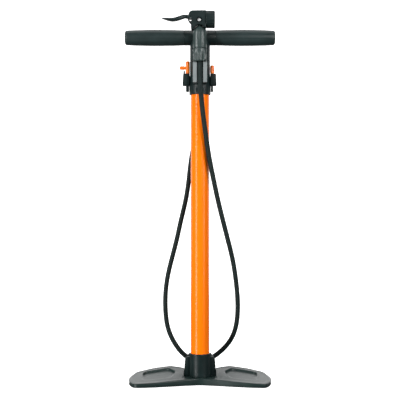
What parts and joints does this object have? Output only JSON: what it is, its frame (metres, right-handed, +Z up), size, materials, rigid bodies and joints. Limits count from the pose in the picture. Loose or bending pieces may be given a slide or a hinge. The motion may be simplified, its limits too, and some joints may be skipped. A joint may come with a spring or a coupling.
{
  "type": "floor bike pump",
  "caption": "Upright floor pump with a T handle, orange barrel, wide foot with a rear gauge, and a lever chuck on a hose docked at the top.",
  "frame": {"origin": "on the floor, under the axis of the barrel", "axes": "+Z up along the barrel, +X along the right grip, +Y towards the rear, where the gauge and the hose outlet are; the docked chuck is at the front"},
  "size_m": [0.2776, 0.1086, 0.682],
  "materials": {
    "black_plastic": "satin moulded",
    "grey_plastic": "satin moulded",
    "grip_plastic": "satin",
    "soft_rubber": "matt",
    "gauge_trim": "gloss",
    "clear_lens": "clear",
    "dial_white": "matt",
    "needle_red": "satin",
    "orange_paint": "gloss",
    "aluminium": "turned",
    "steel": "polished",
    "brass": "turned",
    "orange_plastic": "gloss"
  },
  "bodies": {
    "foot_and_barrel": {"base_plate": "black_plastic", "foot_pad_front_left": "soft_rubber", "foot_pad_front_right": "soft_rubber", "foot_pad_rear_left": "soft_rubber", "foot_pad_rear_right": "soft_rubber", "base_screw_1": "steel", "base_screw_2": "steel", "base_screw_3": "steel", "base_screw_4": "steel", "barrel_socket": "black_plastic", "gauge_housing": "black_plastic", "gauge_bezel": "gauge_trim", "gauge_lens": "clear_lens", "gauge_dial": "dial_white", "gauge_movement": "brass", "barrel_tube": "orange_paint", "inner_cylinder": "aluminium", "valve_block": "aluminium", "valve_block_seal": "soft_rubber", "valve_retainer": "steel", "check_valve_spring": "steel", "cap_collar": "black_plastic", "barrel_cap": "black_plastic", "rod_bush": "brass", "chuck_dock": "grey_plastic", "adapter_holder": "black_plastic", "hose_outlet": "black_plastic", "hose_boot_rear": "soft_rubber", "hose": "soft_rubber"},
    "handle": {"piston_rod": "steel", "piston": "black_plastic", "piston_seal": "soft_rubber", "piston_screw": "steel", "handle_hub": "black_plastic", "hub_pin": "steel", "handle_tube": "steel", "grip_left": "grip_plastic", "grip_right": "grip_plastic"},
    "poppet": {"check_valve_poppet": "brass"},
    "needle": {"gauge_needle": "needle_red"},
    "left_adapter": {"ball_adapter": "orange_plastic"},
    "right_adapter": {"valve_adapter": "orange_plastic"},
    "chuck": {"chuck_body": "black_plastic", "chuck_side_pin": "steel", "chuck_neck": "grey_plastic", "chuck_boot": "soft_rubber", "chuck_seal": "soft_rubber", "lever_pin": "steel"},
    "lever": {"chuck_lever": "black_plastic"},
    "plunger": {"chuck_plunger": "aluminium"},
    "nut": {"valve_nut": "black_plastic"}
  },
  "joints": [
    {"name": "pump_stroke", "type": "slide", "parent": "foot_and_barrel", "child": "handle", "axis": [0, 0, 1], "range_m": [0, 0.46]},
    {"name": "check_valve_lift", "type": "slide", "parent": "foot_and_barrel", "child": "poppet", "axis": [0, 0, -1], "range_m": [0, 0.0018], "stiffness_N_per_m": 100, "springref_m": -0.001, "deforming": ["check_valve_spring"]},
    {"name": "gauge_needle_turn", "type": "hinge", "parent": "foot_and_barrel", "child": "needle", "pos_m": [0, 0.034, 0.0346], "axis": [0, -0.766, -0.6428], "range_deg": [0, 270], "stiffness_Nm_per_rad": 0.001},
    {"name": "left_adapter_pull", "type": "slide", "parent": "foot_and_barrel", "child": "left_adapter", "axis": [0, 0, 1], "range_m": [0, 0.025]},
    {"name": "right_adapter_pull", "type": "slide", "parent": "foot_and_barrel", "child": "right_adapter", "axis": [0, 0, 1], "range_m": [0, 0.025]},
    {"name": "chuck_undock", "type": "slide", "parent": "foot_and_barrel", "child": "chuck", "axis": [0, -1, 0], "range_m": [0, 0.03]},
    {"name": "chuck_lever_turn", "type": "hinge", "parent": "chuck", "child": "lever", "pos_m": [-0.017, -0.0306, 0.6703], "axis": [0, 1, 0], "range_deg": [0, 90]},
    {"name": "plunger_push", "type": "slide", "parent": "chuck", "child": "plunger", "axis": [1, 0, 0], "range_m": [0, 0.003]},
    {"name": "valve_nut_turn", "type": "hinge", "parent": "chuck", "child": "nut", "pos_m": [0.019, -0.0306, 0.666], "axis": [1, 0, 0], "range_deg": [0, 720]}
  ],
  "couplings": [
    {"joint": "plunger_push", "follows": "chuck_lever_turn", "m_per_rad": 0.001908}
  ]
}
